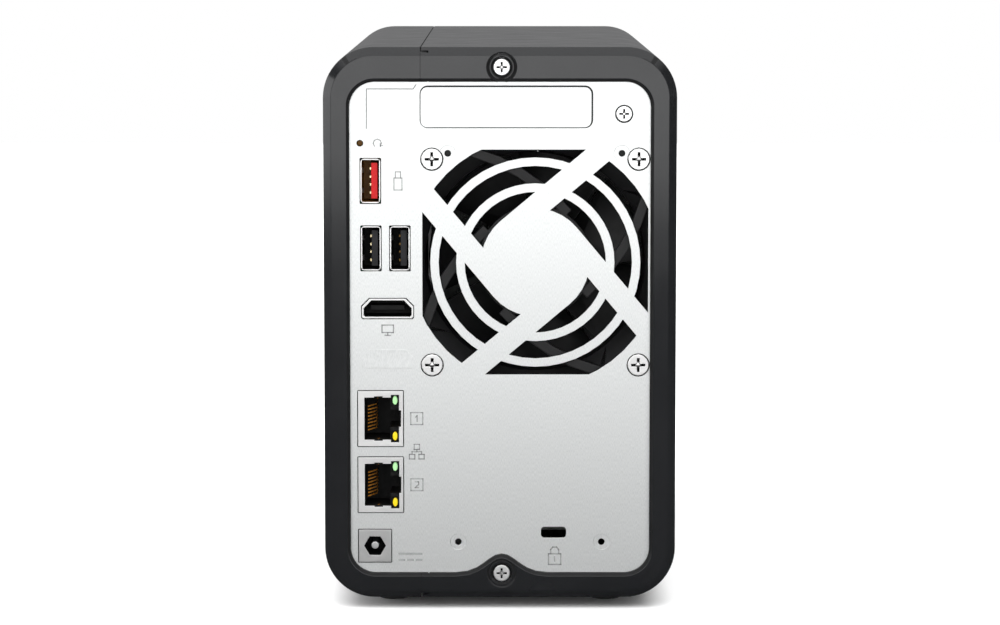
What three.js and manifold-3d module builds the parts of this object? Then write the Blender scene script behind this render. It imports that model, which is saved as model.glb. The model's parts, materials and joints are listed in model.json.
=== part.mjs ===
// Two-bay network attached storage unit, in millimetres, +Z up.
// X runs across the unit, +Y runs from the rear connector panel to the drive trays at the front.
// The origin is on the ground, under the middle of the case.
import * as THREE from "three";
import { mergeVertices } from "three/addons/utils/BufferGeometryUtils.js";
import Module from "manifold-3d";

const wasm = await Module();
wasm.setup();

// ---- Driving dimensions ----

const CASE = { width: 105, height: 165, depth: 226, radius: 15, wall: 2.4 };

// A place given as a distance in from one of the case's outer faces.
const fromLeft = (inset) => inset - CASE.width / 2;
const fromRight = (inset) => CASE.width / 2 - inset;
const fromRear = (inset) => inset - CASE.depth / 2;
const fromFront = (inset) => CASE.depth / 2 - inset;

const REAR_CHAMFER = 2.4;
const FRONT_CHAMFER = 1.2;
const SEAM = { x: fromLeft(29), gap: 0.3, rimGap: 0.1, lap: 2 }; // the shells meet, one lapped by the other
const RIM = { side: 7.8, top: 10.25, bottom: 7.7, depth: 2.0, flare: 0.9, radius: 7.5 };
const BUMP = { half: 13.7, height: 5.65 }; // the rim's rise round the lower case screw
const FOOT = { height: 3, radius: 5, pocket: 0.6, inset: 14.2, x: fromRight(20.35) };
const VENT = { width: 3, length: 38, pitch: 7, gap: 12 }; // air slots in the case's underside

const FIT = 0.3; // gap left between pieces that touch
const SEAT = 0.1; // gap left under a screw head
const SNUG = 0.22; // gap round a socket in the panel

const PANEL = { thick: 1.0, edge: 0.5 };
const GRILLE = { x: fromRight(42), z: 104, half: 33.6, radius: 37.3, disc: 16.15 };
const GRILLE_RINGS = [
  { inner: 21.0, outer: 23.6 },
  { inner: 28.75, outer: 31.3 },
];
const SPOKE = { inner: 9.1, outer: 16.15, angle: 39.9 }; // tangent bars that carry the rings

const FAN = { size: 70, depth: 25, spacing: 61.5, bore: 33, mouth: 38, wall: 1.8, flange: 3.5, hub: 16.9 };
const FAN_ARM = { half: 1.5, reach: 38.8, start: 28, sweep: 93, curl: 3, deep: 2.8 };
const ROTOR = { blades: 7, tip: 32, hub: 15.8, wall: 2.3, sweep: 47, rise: 13, thick: 1.3 };

const CASE_SCREW = { x: 0.5, head: 2.6, tall: 1.0, shank: 1.4, recess: 3.15, deep: 1.2 };
const CASE_SCREW_INSET = { top: 5.9, bottom: 7.6 };
const FAN_SCREW = { head: 3.3, tall: 0.9, shank: 1.9, length: 10, recess: 0.5 };
const PANEL_SCREW = { x: fromRight(15.7), z: 148.2, head: 2.4, tall: 0.5, shank: 1.3, length: 5 };
const CARD_SLOT = { x: 1.9, z: 150.3, wide: 51.4, tall: 12.6, radius: 2.4, deep: 0.45 };
const CARD_BLANK = { line: 0.35, lean: 0.13 }; // the groove round the blank, and how far it sits low and left
const LABEL = {
  left: fromLeft(12.9),
  right: fromLeft(26.8),
  low: 143.8,
  high: 155.6,
  rise: 1.4,
  line: 0.12,
  deep: 0.15,
};

const BOARD = { x: fromLeft(7.8), thick: 1.6, rear: 0.8, length: 170, low: 12, high: 158 };
const BRACKET = { x: fromLeft(3.2), thick: 1.0, low: 17, high: 153, front: fromFront(19) };

const LAN = { x: fromLeft(16.8), top: 57.1, apart: 3.3, wide: 13.5, tall: 16.7, deep: 21, wall: 0.4 };
const LAN_HEIGHTS = [LAN.top, LAN.top - LAN.tall - LAN.apart];
const LAN_LIGHT = { x: 4.3, z: 5.4, wide: 1.4, tall: 2.5 };
const USB = { wide: 5.9, tall: 13.2, deep: 14, wall: 0.35, corner: 1.1 };
const USB_PORTS = [
  { name: "usb_fast_port", x: fromLeft(14), z: 128.3 },
  { name: "usb_port_1", x: fromLeft(14.1), z: 108.2 },
  { name: "usb_port_2", x: fromLeft(22.7), z: 108.2 },
];
const VIDEO = { x: fromLeft(19), z: 90.2, wide: 15.3, tall: 5.9, deep: 12, wall: 0.5 };
const VIDEO_BLANK_Z = 75.1;
const VIDEO_BLANK_DEEP = 0.06;
const POWER_JACK = { x: fromLeft(15), z: 18.6, size: 9.8, deep: 14, bore: 3.25, pin: 1.1 };
const RESET = { x: fromLeft(10.9), z: 139.5, hole: 1.0, plunger: 0.75 };
const LOCK_SLOT = { x: 16.05, z: 22.7, wide: 7.5, tall: 3.3, radius: 1.0 };
const PANEL_HOLES = [
  { x: GRILLE.x - 26, z: 136.5 },
  { x: GRILLE.x + 25.7, z: 136.5 },
  { x: GRILLE.x - 23, z: 19.8 },
  { x: GRILLE.x + 19.9, z: 19.8 },
];
const COIN = { radius: 2.4, deep: 0.1, hole: 1.0 };

const CAGE = {
  left: fromRight(73.4),
  right: fromRight(4.2),
  low: 18.9,
  high: 137.3,
  sheet: 1.0,
  rear: fromRear(RIM.depth + PANEL.thick + FAN.depth + 4 * FIT), // just clear of the fan
  front: fromFront(19),
};
const GUIDE_RIB = 2.1;
const BACKPLANE = { y: CAGE.rear + 7.8, thick: 1.6, margin: 0.5 };
const LINK = { low: 109, high: 129 }; // the backplane's edge connector, in height
const FAN_PLUG = { x: fromLeft(13), y: CAGE.rear + 13.6, z: 94 };

const TRAY = { pitch: 34.5, mid: 78.5, body: 31, tall: 112, rear: BACKPLANE.y + 6, plate: 2, rail: 2.3 };
const FIRST_TRAY = CAGE.left + 17.05;
const BEZEL = { wide: 34, tall: 122, rear: fromFront(18), front: fromFront(2.4) };
const DRIVE = { length: 147, wide: 101.6, thick: 26.1, rear: TRAY.rear + 2.5 };
const LEVER = {
  wide: 22,
  top: 112,
  axisY: fromFront(6.5),
  axisZ: 30,
  knuckle: 3.2,
  back: fromFront(9),
  face: fromFront(2.8),
  pin: 1.0,
};
const RELEASE = { wide: 14, low: 113.5, high: 120.5, back: fromFront(8.8), face: fromFront(2.6) };
const POCKET = { low: 26, high: 122, floor: fromFront(11.4) };

const FASCIA = { rear: fromFront(5), front: fromFront(2), edge: 0.3 };
const STRIP_X = fromLeft(16.9); // middle of the control strip beside the trays
const POWER_BUTTON = { z: 30, radius: 5.5, face: fromFront(1.4) };
const COPY_BUTTON = { z: 50, radius: 4, face: fromFront(1.5) };
const FRONT_USB_Z = 74;
const LIGHT_BAR = { z: 128, wide: 3, tall: 30, face: fromFront(1.8) };
const FRONT_BOARD = {
  y: fromFront(17),
  thick: 1.6,
  low: 14,
  high: 150,
  left: fromLeft(5.5),
  right: fromLeft(28),
};

// ---- Places worked out from them ----

const bodyLow = FOOT.height;
const bodyHigh = bodyLow + CASE.height;
const bodyMid = (bodyLow + bodyHigh) / 2;
const rearY = -CASE.depth / 2;
const frontY = CASE.depth / 2;
const cavity = {
  width: CASE.width - 2 * CASE.wall,
  height: CASE.height - 2 * CASE.wall,
  radius: CASE.radius - CASE.wall,
};
const openingHalf = CASE.width / 2 - RIM.side;
const openingLow = bodyLow + RIM.bottom;
const openingHigh = bodyHigh - RIM.top;
const panelOut = rearY + RIM.depth + FIT;
const panelIn = panelOut + PANEL.thick;
const boardFace = BOARD.x + BOARD.thick;
const socketFace = panelOut - 0.2; // the sockets stand just proud of the panel
const caseScrews = [
  { name: "case_screw_top", z: bodyHigh - CASE_SCREW_INSET.top },
  { name: "case_screw_bottom", z: bodyLow + CASE_SCREW_INSET.bottom },
];
const fanCorners = [
  { name: "fan_screw_1", x: -1, z: 1 },
  { name: "fan_screw_2", x: 1, z: 1 },
  { name: "fan_screw_3", x: -1, z: -1 },
  { name: "fan_screw_4", x: 1, z: -1 },
].map((c) => ({
  name: c.name,
  x: GRILLE.x + (c.x * FAN.spacing) / 2,
  z: GRILLE.z + (c.z * FAN.spacing) / 2,
}));

// ---- Materials ----

const finish = (color, roughness, metalness) =>
  new THREE.MeshStandardMaterial({ color, roughness, metalness });
const blackPlastic = finish(0x2b2c2e, 0.35, 0);
const fanPlastic = finish(0x161617, 0.5, 0);
const brushedSteel = finish(0xc6cac9, 0.35, 1);
const plainSteel = finish(0xa8acab, 0.45, 1);
const screwSteel = finish(0xd8dad8, 0.25, 1);
const blackInsulator = finish(0x0e0e0f, 0.55, 0);
const redInsulator = finish(0xd8262c, 0.45, 0);
const greenBoard = finish(0x14532d, 0.5, 0);
const aluminium = finish(0xb9bcbc, 0.35, 1);
const rubber = finish(0x17181a, 0.9, 0);
const clearLens = finish(0xdfe6e8, 0.15, 0);
const driveCasting = finish(0x8d9092, 0.45, 1);
const leadJacket = finish(0x111111, 0.6, 0);

// ---- Solids ----

// A closed geometry as a manifold solid.
function solidOf(geometry) {
  const bare = geometry.index ? geometry.toNonIndexed() : geometry.clone();
  bare.deleteAttribute("normal");
  bare.deleteAttribute("uv");
  const merged = mergeVertices(bare, 1e-4);
  const all = merged.index.array;
  const kept = [];
  for (let i = 0; i < all.length; i += 3) {
    const [a, b, c] = [all[i], all[i + 1], all[i + 2]];
    if (a !== b && b !== c && a !== c) kept.push(a, b, c);
  }
  return new wasm.Manifold(
    new wasm.Mesh({
      numProp: 3,
      vertProperties: merged.attributes.position.array,
      triVerts: new Uint32Array(kept),
    }),
  );
}

function geometryOf(solid) {
  const mesh = solid.getMesh();
  const geometry = new THREE.BufferGeometry();
  geometry.setAttribute("position", new THREE.BufferAttribute(new Float32Array(mesh.vertProperties), 3));
  geometry.setIndex(new THREE.BufferAttribute(new Uint32Array(mesh.triVerts), 1));
  geometry.computeVertexNormals();
  return geometry;
}

const union = (solids) => solids.reduce((a, b) => a.add(b));
const cut = (solid, cutters) => cutters.reduce((a, b) => a.subtract(b), solid);

function box(x0, x1, y0, y1, z0, z1) {
  const geometry = new THREE.BoxGeometry(x1 - x0, y1 - y0, z1 - z0);
  geometry.translate((x0 + x1) / 2, (y0 + y1) / 2, (z0 + z1) / 2);
  return solidOf(geometry);
}

// A round bar along Y from y0 to y1.
function rodY(x, z, radius, y0, y1, sides = 24) {
  const geometry = new THREE.CylinderGeometry(radius, radius, y1 - y0, sides);
  geometry.translate(x, (y0 + y1) / 2, z);
  return solidOf(geometry);
}

// A round bar along X from x0 to x1.
function rodX(y, z, radius, x0, x1, sides = 16) {
  const geometry = new THREE.CylinderGeometry(radius, radius, x1 - x0, sides);
  geometry.rotateZ(Math.PI / 2);
  geometry.translate((x0 + x1) / 2, y, z);
  return solidOf(geometry);
}

// A washer shape round a Y axis.
const ringY = (x, z, inner, outer, y0, y1, sides = 24) =>
  rodY(x, z, outer, y0, y1, sides).subtract(rodY(x, z, inner, y0 - 1, y1 + 1, sides));

// An outline in X and Z, made solid from y0 to y1. bevel tapers both ends from inside the outline.
function plate(shape, y0, y1, segments = 6, bevel = 0) {
  const geometry = new THREE.ExtrudeGeometry(shape, {
    depth: y1 - y0 - 2 * bevel,
    bevelEnabled: bevel > 0,
    bevelThickness: bevel,
    bevelSize: bevel,
    bevelOffset: -bevel,
    bevelSegments: 1,
    curveSegments: segments,
  });
  geometry.rotateX(Math.PI / 2);
  geometry.translate(0, y1 - bevel, 0);
  return solidOf(geometry);
}

function roundedRect(x, z, width, height, radius) {
  const [l, r, b, t] = [x - width / 2, x + width / 2, z - height / 2, z + height / 2];
  const shape = new THREE.Shape();
  shape.moveTo(l + radius, b);
  shape.lineTo(r - radius, b);
  shape.absarc(r - radius, b + radius, radius, -Math.PI / 2, 0);
  shape.lineTo(r, t - radius);
  shape.absarc(r - radius, t - radius, radius, 0, Math.PI / 2);
  shape.lineTo(l + radius, t);
  shape.absarc(l + radius, t - radius, radius, Math.PI / 2, Math.PI);
  shape.lineTo(l, b + radius);
  shape.absarc(l + radius, b + radius, radius, Math.PI, 1.5 * Math.PI);
  return shape;
}

// The case's inner outline, brought in by a gap all round.
const insideCase = (gap) =>
  roundedRect(0, bodyMid, cavity.width - 2 * gap, cavity.height - 2 * gap, cavity.radius - gap);

// The video socket's outline: full width below, with a step and a slope up to a narrower top.
function socketOutline(x, z, width, height) {
  const [half, top] = [width / 2, height / 2];
  const [shoulder, crest, corner] = [half - 0.7, half - 2.3, 0.45];
  const shape = new THREE.Shape();
  shape.moveTo(x - half + corner, z - top);
  shape.lineTo(x + half - corner, z - top);
  shape.lineTo(x + half, z - top + corner);
  shape.lineTo(x + half, z + top - 2.3);
  shape.lineTo(x + shoulder, z + top - 1.65);
  shape.lineTo(x + crest, z + top);
  shape.lineTo(x - crest, z + top);
  shape.lineTo(x - shoulder, z + top - 1.65);
  shape.lineTo(x - half, z + top - 2.3);
  shape.lineTo(x - half, z - top + corner);
  return shape;
}

// ---- The scene graph ----

const unit = new THREE.Group();

function place(name, solid, material, parent = unit) {
  const geometry = solid.isBufferGeometry ? solid : geometryOf(solid);
  const mesh = new THREE.Mesh(geometry, material);
  mesh.name = name;
  parent.add(mesh);
  return mesh;
}

// ---- Case: two plastic shells, feet ----

// The hole in the rear rim, with the rise round the lower screw.
function rimOpening() {
  const [half, low, high, r] = [openingHalf, openingLow, openingHigh, RIM.radius];
  const x = CASE_SCREW.x;
  const crest = low + BUMP.height;
  const shape = new THREE.Shape();
  shape.moveTo(-half + r, low);
  shape.lineTo(x - BUMP.half, low);
  shape.bezierCurveTo(x - 0.42 * BUMP.half, low, x - 0.3 * BUMP.half, crest, x, crest);
  shape.bezierCurveTo(x + 0.3 * BUMP.half, crest, x + 0.42 * BUMP.half, low, x + BUMP.half, low);
  shape.lineTo(half - r, low);
  shape.absarc(half - r, low + r, r, -Math.PI / 2, 0);
  shape.lineTo(half, high - r);
  shape.absarc(half - r, high - r, r, 0, Math.PI / 2);
  shape.lineTo(-half + r, high);
  shape.absarc(-half + r, high - r, r, Math.PI / 2, Math.PI);
  shape.lineTo(-half, low + r);
  shape.absarc(-half + r, low + r, r, Math.PI, 1.5 * Math.PI);
  return shape;
}

function ventSlots() {
  const slots = [];
  const row = (first, last) => {
    for (let x = first; x <= last; x += VENT.pitch)
      for (const side of [-1, 1]) {
        const y = (side * (VENT.length + VENT.gap)) / 2;
        const slot = new THREE.ExtrudeGeometry(roundedRect(x, y, VENT.width, VENT.length, VENT.width / 2), {
          depth: 3 * CASE.wall,
          bevelEnabled: false,
          curveSegments: 2,
        });
        slot.translate(0, 0, bodyLow - CASE.wall);
        slots.push(solidOf(slot));
      }
  };
  row(CASE.radius - CASE.width / 2 + VENT.pitch / 2, SEAM.x - VENT.pitch / 2);
  row(SEAM.x + 1.5 * VENT.pitch, CASE.width / 2 - CASE.radius - VENT.pitch / 2);
  return slots;
}

function footPlaces() {
  const y = CASE.depth / 2 - FOOT.inset - FOOT.radius;
  return [
    { name: "foot_rear_left", x: -FOOT.x, y: -y },
    { name: "foot_rear_right", x: FOOT.x, y: -y },
    { name: "foot_front_left", x: -FOOT.x, y },
    { name: "foot_front_right", x: FOOT.x, y },
  ];
}

function caseBody() {
  const outline = roundedRect(0, bodyMid, CASE.width, CASE.height, CASE.radius);
  const spare = 20;
  const outer = plate(outline, rearY, frontY + spare, 8, REAR_CHAMFER).intersect(
    plate(outline, rearY - spare, frontY, 8, FRONT_CHAMFER),
  );
  const inner = roundedRect(0, bodyMid, cavity.width, cavity.height, cavity.radius);
  const flare = new THREE.ExtrudeGeometry(rimOpening(), {
    depth: 1,
    bevelEnabled: true,
    bevelThickness: RIM.flare,
    bevelSize: RIM.flare,
    bevelSegments: 1,
    curveSegments: 6,
  });
  flare.rotateX(Math.PI / 2);
  flare.translate(0, rearY, 0);
  const cutters = [
    plate(inner, rearY + RIM.depth, frontY + 1, 8),
    plate(rimOpening(), rearY - 1, rearY + RIM.depth + 1, 6),
    solidOf(flare),
    ...ventSlots(),
  ];
  for (const s of caseScrews) {
    const x = CASE_SCREW.x;
    cutters.push(rodY(x, s.z, CASE_SCREW.recess, rearY - 1, rearY + CASE_SCREW.deep, 24));
    cutters.push(rodY(x, s.z, CASE_SCREW.shank + FIT, rearY - 1, rearY + RIM.depth + 1, 12));
  }
  // A groove sets the upper screw's boss apart from the rim; the lower one has a fine ring.
  cutters.push(ringY(CASE_SCREW.x, caseScrews[0].z, 3.75, 4.45, rearY - 1, rearY + 1.0, 24));
  cutters.push(ringY(CASE_SCREW.x, caseScrews[1].z, 3.9, 4.2, rearY - 1, rearY + 0.35, 24));
  for (const f of footPlaces()) {
    const pocket = new THREE.CylinderGeometry(FOOT.radius + FIT, FOOT.radius + FIT, 2 * FOOT.pocket, 20);
    pocket.rotateX(Math.PI / 2);
    pocket.translate(f.x, f.y, bodyLow);
    cutters.push(solidOf(pocket));
  }
  return cut(outer, cutters);
}

// The inner half of the case's wall and all that lies inside it.
const innerHalf = (gap) => {
  const inset = CASE.wall / 2 + gap;
  const shape = roundedRect(0, bodyMid, CASE.width - 2 * inset, CASE.height - 2 * inset, CASE.radius - inset);
  return plate(shape, rearY + RIM.depth / 2 + gap, CASE.depth, 8);
};

// The shells meet edge to edge outside, and a lip of the left one runs on behind the right one's edge.
function buildCase() {
  const whole = caseBody();
  const far = CASE.depth;
  const clear = SEAM.gap / 2;
  const leftOf = (x) => box(-far, x, -far, far, -far, far);
  const lip = innerHalf(clear).intersect(leftOf(SEAM.x + SEAM.lap));
  const lipRoom = innerHalf(-clear).intersect(leftOf(SEAM.x + SEAM.lap + SEAM.gap));
  const rimEdge = whole.intersect(
    box(SEAM.x - clear + SEAM.rimGap, SEAM.x + 2 * clear, -far, rearY + RIM.depth / 2, -far, far),
  );
  const right = cut(whole, [leftOf(SEAM.x + clear), lipRoom]).add(rimEdge);
  place("case_shell_left", whole.intersect(leftOf(SEAM.x - clear).add(lip)), blackPlastic);
  place("case_shell_right", right, blackPlastic);

  const top = bodyLow + FOOT.pocket - FIT;
  const profile = [
    [0, 0],
    [FOOT.radius - 0.5, 0],
    [FOOT.radius, 0.5],
    [FOOT.radius, top],
    [0, top],
  ].map(([r, z]) => new THREE.Vector2(r, z));
  const foot = new THREE.LatheGeometry(profile, 20);
  foot.rotateX(Math.PI / 2);
  for (const f of footPlaces()) place(f.name, foot, rubber).position.set(f.x, f.y, 0);
}

// ---- Screws ----

// A pan head with a deep cross recess, its head's top at y = 0 and its shank running along +Y.
function screw(head, tall, shank, length, sides = 14) {
  const bevel = 0.25 * tall;
  const profile = [
    [0, 0],
    [head - bevel, 0],
    [head, bevel],
    [head, tall],
    [shank, tall],
    [shank, length - 0.5],
    [shank - 0.5, length],
    [0, length],
  ].map(([r, y]) => new THREE.Vector2(r, y));
  const turned = new THREE.LatheGeometry(profile, sides);
  const slot = 0.2 * shank;
  const cross = (arm, deep) => [box(-arm, arm, -1, deep, -slot, slot), box(-slot, slot, -1, deep, -arm, arm)];
  const socket = rodY(0, 0, 0.38 * shank, -1, tall + 0.6, 8);
  return cut(solidOf(turned), [...cross(1.1 * shank, 0.75 * tall), ...cross(0.8 * shank, tall + 0.9), socket]);
}

function buildScrews() {
  const caseScrew = geometryOf(screw(CASE_SCREW.head, CASE_SCREW.tall, CASE_SCREW.shank, 8));
  const headY = rearY + CASE_SCREW.deep - SEAT - CASE_SCREW.tall;
  for (const s of caseScrews) place(s.name, caseScrew, screwSteel).position.set(CASE_SCREW.x, headY, s.z);
  const fanScrew = geometryOf(screw(FAN_SCREW.head, FAN_SCREW.tall, FAN_SCREW.shank, FAN_SCREW.length));
  const fanHead = panelOut + FAN_SCREW.recess - SEAT - FAN_SCREW.tall;
  for (const s of fanCorners) place(s.name, fanScrew, screwSteel).position.set(s.x, fanHead, s.z);
  const small = screw(PANEL_SCREW.head, PANEL_SCREW.tall, PANEL_SCREW.shank, PANEL_SCREW.length);
  place("panel_screw", small, screwSteel).position.set(PANEL_SCREW.x, panelOut - SEAT, PANEL_SCREW.z);
}

// ---- Rear panel ----

// The four-way symmetric air openings: a clipped disc less its hub, rings and tangent spokes.
function grilleCutter() {
  const { x, z, half, radius, disc } = GRILLE;
  const [y0, y1] = [panelOut - 1, panelIn + 1];
  let open = rodY(x, z, radius, y0, y1, 48).intersect(box(x - half, x + half, y0, y1, z - half, z + half));
  open = open.subtract(rodY(x, z, disc, y0 - 1, y1 + 1, 36));
  for (const r of GRILLE_RINGS) open = open.subtract(ringY(x, z, r.inner, r.outer, y0 - 1, y1 + 1, 48));
  for (let k = 0; k < 4; k += 1) {
    const bar = new THREE.BoxGeometry(radius + 10, y1 - y0 + 2, SPOKE.outer - SPOKE.inner);
    bar.translate((radius + 10) / 2, (y0 + y1) / 2, (SPOKE.outer + SPOKE.inner) / 2);
    bar.rotateY(-THREE.MathUtils.degToRad(SPOKE.angle + 90 * k));
    bar.translate(x, 0, z);
    open = open.subtract(solidOf(bar));
  }
  return open;
}

// The line scribed along the left and top of the label's place, rising at its right end.
function labelLine() {
  const { left, right, low, high, rise, line } = LABEL;
  const shape = new THREE.Shape();
  shape.moveTo(left - line, low);
  shape.lineTo(left + line, low);
  shape.lineTo(left + line, high - line);
  shape.lineTo(right, high - line);
  shape.lineTo(right + 0.7 * rise, high + rise - line);
  shape.lineTo(right + 0.7 * rise - 2 * line, high + rise);
  shape.lineTo(right - line, high + line);
  shape.lineTo(left - line, high + line);
  return shape;
}

function buildRearPanel() {
  const { edge } = PANEL;
  const outline = insideCase(edge);
  const [y0, y1] = [panelOut - 1, panelIn + 1];
  const window = (x, z, wide, tall, r) =>
    plate(roundedRect(x, z, wide + 2 * SNUG, tall + 2 * SNUG, r), y0, y1, 2);
  const pressed = (shape, deep) => plate(shape, y0, panelOut + deep, 4);
  const slot = roundedRect(LOCK_SLOT.x, LOCK_SLOT.z, LOCK_SLOT.wide, LOCK_SLOT.tall, LOCK_SLOT.radius);
  const cutters = [grilleCutter(), plate(slot, y0, y1, 3)];
  for (const z of LAN_HEIGHTS) cutters.push(window(LAN.x, z, LAN.wide, LAN.tall, 0.4));
  for (const p of USB_PORTS) cutters.push(window(p.x, p.z, USB.wide, USB.tall, 0.3));
  cutters.push(window(POWER_JACK.x, POWER_JACK.z, POWER_JACK.size, POWER_JACK.size, 0.3));
  cutters.push(plate(socketOutline(VIDEO.x, VIDEO.z, VIDEO.wide + 2 * SNUG, VIDEO.tall + 2 * SNUG), y0, y1));
  cutters.push(rodY(RESET.x, RESET.z, RESET.hole, y0, y1, 16));
  for (const h of PANEL_HOLES) {
    cutters.push(rodY(h.x, h.z, COIN.hole, y0, y1, 16));
    cutters.push(rodY(h.x, h.z, COIN.radius, y0, panelOut + COIN.deep));
  }
  for (const s of caseScrews) cutters.push(rodY(CASE_SCREW.x, s.z, CASE_SCREW.shank + FIT, y0, y1, 16));
  for (const s of fanCorners) {
    cutters.push(rodY(s.x, s.z, FAN_SCREW.shank + FIT, y0, y1, 16));
    cutters.push(rodY(s.x, s.z, FAN_SCREW.head + FIT / 2, y0, panelOut + FAN_SCREW.recess));
  }
  cutters.push(rodY(PANEL_SCREW.x, PANEL_SCREW.z, PANEL_SCREW.shank + FIT, y0, y1, 16));
  cutters.push(rodY(PANEL_SCREW.x, PANEL_SCREW.z, PANEL_SCREW.head + FIT, y0, panelOut + PANEL_SCREW.tall));
  // The card slot's blank sits in a groove, a little low and left; the second video socket is pressed in.
  const { x, z, wide, tall, radius, deep } = CARD_SLOT;
  const { line, lean } = CARD_BLANK;
  const slotEdge = pressed(roundedRect(x, z, wide, tall, radius), deep);
  const blank = roundedRect(x - lean, z - lean, wide - 2 * line, tall - 2 * line, radius - line);
  cutters.push(slotEdge.subtract(plate(blank, y0 - 1, y1, 4)));
  cutters.push(pressed(labelLine(), LABEL.deep));
  cutters.push(pressed(socketOutline(VIDEO.x, VIDEO_BLANK_Z, 15.2, 5.6), VIDEO_BLANK_DEEP));
  place("rear_panel", cut(plate(outline, panelOut, panelIn, 6), cutters), brushedSteel);
}

// ---- Fan ----

// One of the frame's curved arms, which spiral in from the bore to the motor's seat.
function fanArm(turn) {
  const { half, reach, start, sweep, curl } = FAN_ARM;
  const steps = 6;
  const span = reach - FAN.hub;
  const turned = THREE.MathUtils.degToRad(sweep);
  const [outer, inner] = [[], []];
  for (let i = 0; i <= steps; i += 1) {
    const t = 0.3 + (0.7 * i) / steps;
    const radius = FAN.hub + span * t ** curl;
    const angle = THREE.MathUtils.degToRad(start) + turned * t + turn;
    const normal = angle - Math.atan((curl * span * t ** (curl - 1)) / (turned * radius));
    const [x, z] = [radius * Math.cos(angle), radius * Math.sin(angle)];
    const [dx, dz] = [half * Math.cos(normal), half * Math.sin(normal)];
    outer.push(new THREE.Vector2(x + dx, z + dz));
    inner.push(new THREE.Vector2(x - dx, z - dz));
  }
  return new THREE.Shape([...outer, ...inner.reverse()]);
}

function buildFan() {
  const { x, z } = GRILLE;
  const [y0, y1] = [panelIn + FIT, panelIn + FIT + FAN.depth];
  const square = roundedRect(x, z, FAN.size, FAN.size, 3);
  const armY = [y0 + 0.2, y0 + 0.2 + FAN_ARM.deep];
  const rotorY = [armY[1] + 1.0, y1 - 2];
  const mouthDeep = 4.5;
  const mouth = new THREE.CylinderGeometry(FAN.bore, FAN.mouth, mouthDeep, 36);
  mouth.translate(x, y0 + mouthDeep / 2 - 0.01, z);
  const shroud = union([
    plate(square, y0, y0 + FAN.flange, 3),
    plate(square, y1 - FAN.flange, y1, 3),
    rodY(x, z, FAN.bore + FAN.wall, y0 + 1, y1 - 1, 36),
  ]);
  let frame = cut(shroud, [
    rodY(x, z, FAN.bore, y0 - 1, y1 + 1, 36),
    solidOf(mouth),
    ...fanCorners.map((s) => rodY(s.x, s.z, FAN_SCREW.shank + FIT, y0 - 1, y1 + 1, 10)),
  ]);
  const arms = [0, 1, 2, 3].map((k) => {
    const arm = plate(fanArm((k * Math.PI) / 2), armY[0], armY[1]);
    return arm.translate(x, 0, z);
  });
  // The motor's coils are fixed to the frame's hub and stand inside the rotor's cup.
  const coilTop = rotorY[1] - ROTOR.wall - 1;
  const coils = rodY(x, z, ROTOR.hub - ROTOR.wall - 1, armY[1] - 0.5, coilTop, 24);
  frame = union([frame, rodY(x, z, FAN.hub, armY[0], armY[1], 32), coils, ...arms]);
  frame = frame.intersect(plate(square, y0, y1, 3));
  place("fan_frame", frame.subtract(rodY(x, z, 2.2, armY[0] + 1, coilTop + 1, 16)), fanPlastic);

  const fan = new THREE.Group();
  fan.position.set(x, 0, z);
  unit.add(fan);
  const cup = rodY(0, 0, ROTOR.hub, rotorY[0], rotorY[1], 28).subtract(
    rodY(0, 0, ROTOR.hub - ROTOR.wall, rotorY[0] - 1, rotorY[1] - ROTOR.wall, 20),
  );
  const shaft = rodY(0, 0, 1.5, armY[0] + 1.5, rotorY[1] - 1, 16);
  const blades = [];
  for (let k = 0; k < ROTOR.blades; k += 1)
    blades.push(blade((2 * Math.PI * k) / ROTOR.blades, rotorY[0] + 1));
  place("fan_rotor", union([cup, shaft, ...blades]), fanPlastic, fan);
}

// A blade: a sector of the swept ring that climbs along the axis as it turns.
function blade(turn, low) {
  const sweep = THREE.MathUtils.degToRad(ROTOR.sweep);
  const shape = new THREE.Shape();
  shape.absarc(0, 0, ROTOR.tip, 0, sweep);
  shape.absarc(0, 0, ROTOR.hub - 0.6, sweep - 0.1, -0.12, true);
  const flat = new THREE.ExtrudeGeometry(shape, {
    depth: ROTOR.thick,
    bevelEnabled: false,
    curveSegments: 4,
  });
  flat.rotateX(Math.PI / 2);
  flat.translate(0, ROTOR.thick + low, 0);
  const at = flat.getAttribute("position");
  for (let i = 0; i < at.count; i += 1) {
    const share = (Math.atan2(at.getZ(i), at.getX(i)) + 0.12) / (sweep + 0.12);
    at.setY(i, at.getY(i) + ROTOR.rise * Math.max(0, Math.min(1, share)) ** 0.85);
  }
  flat.rotateY(-turn);
  return solidOf(flat);
}

// ---- Main board and what stands on it ----

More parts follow.
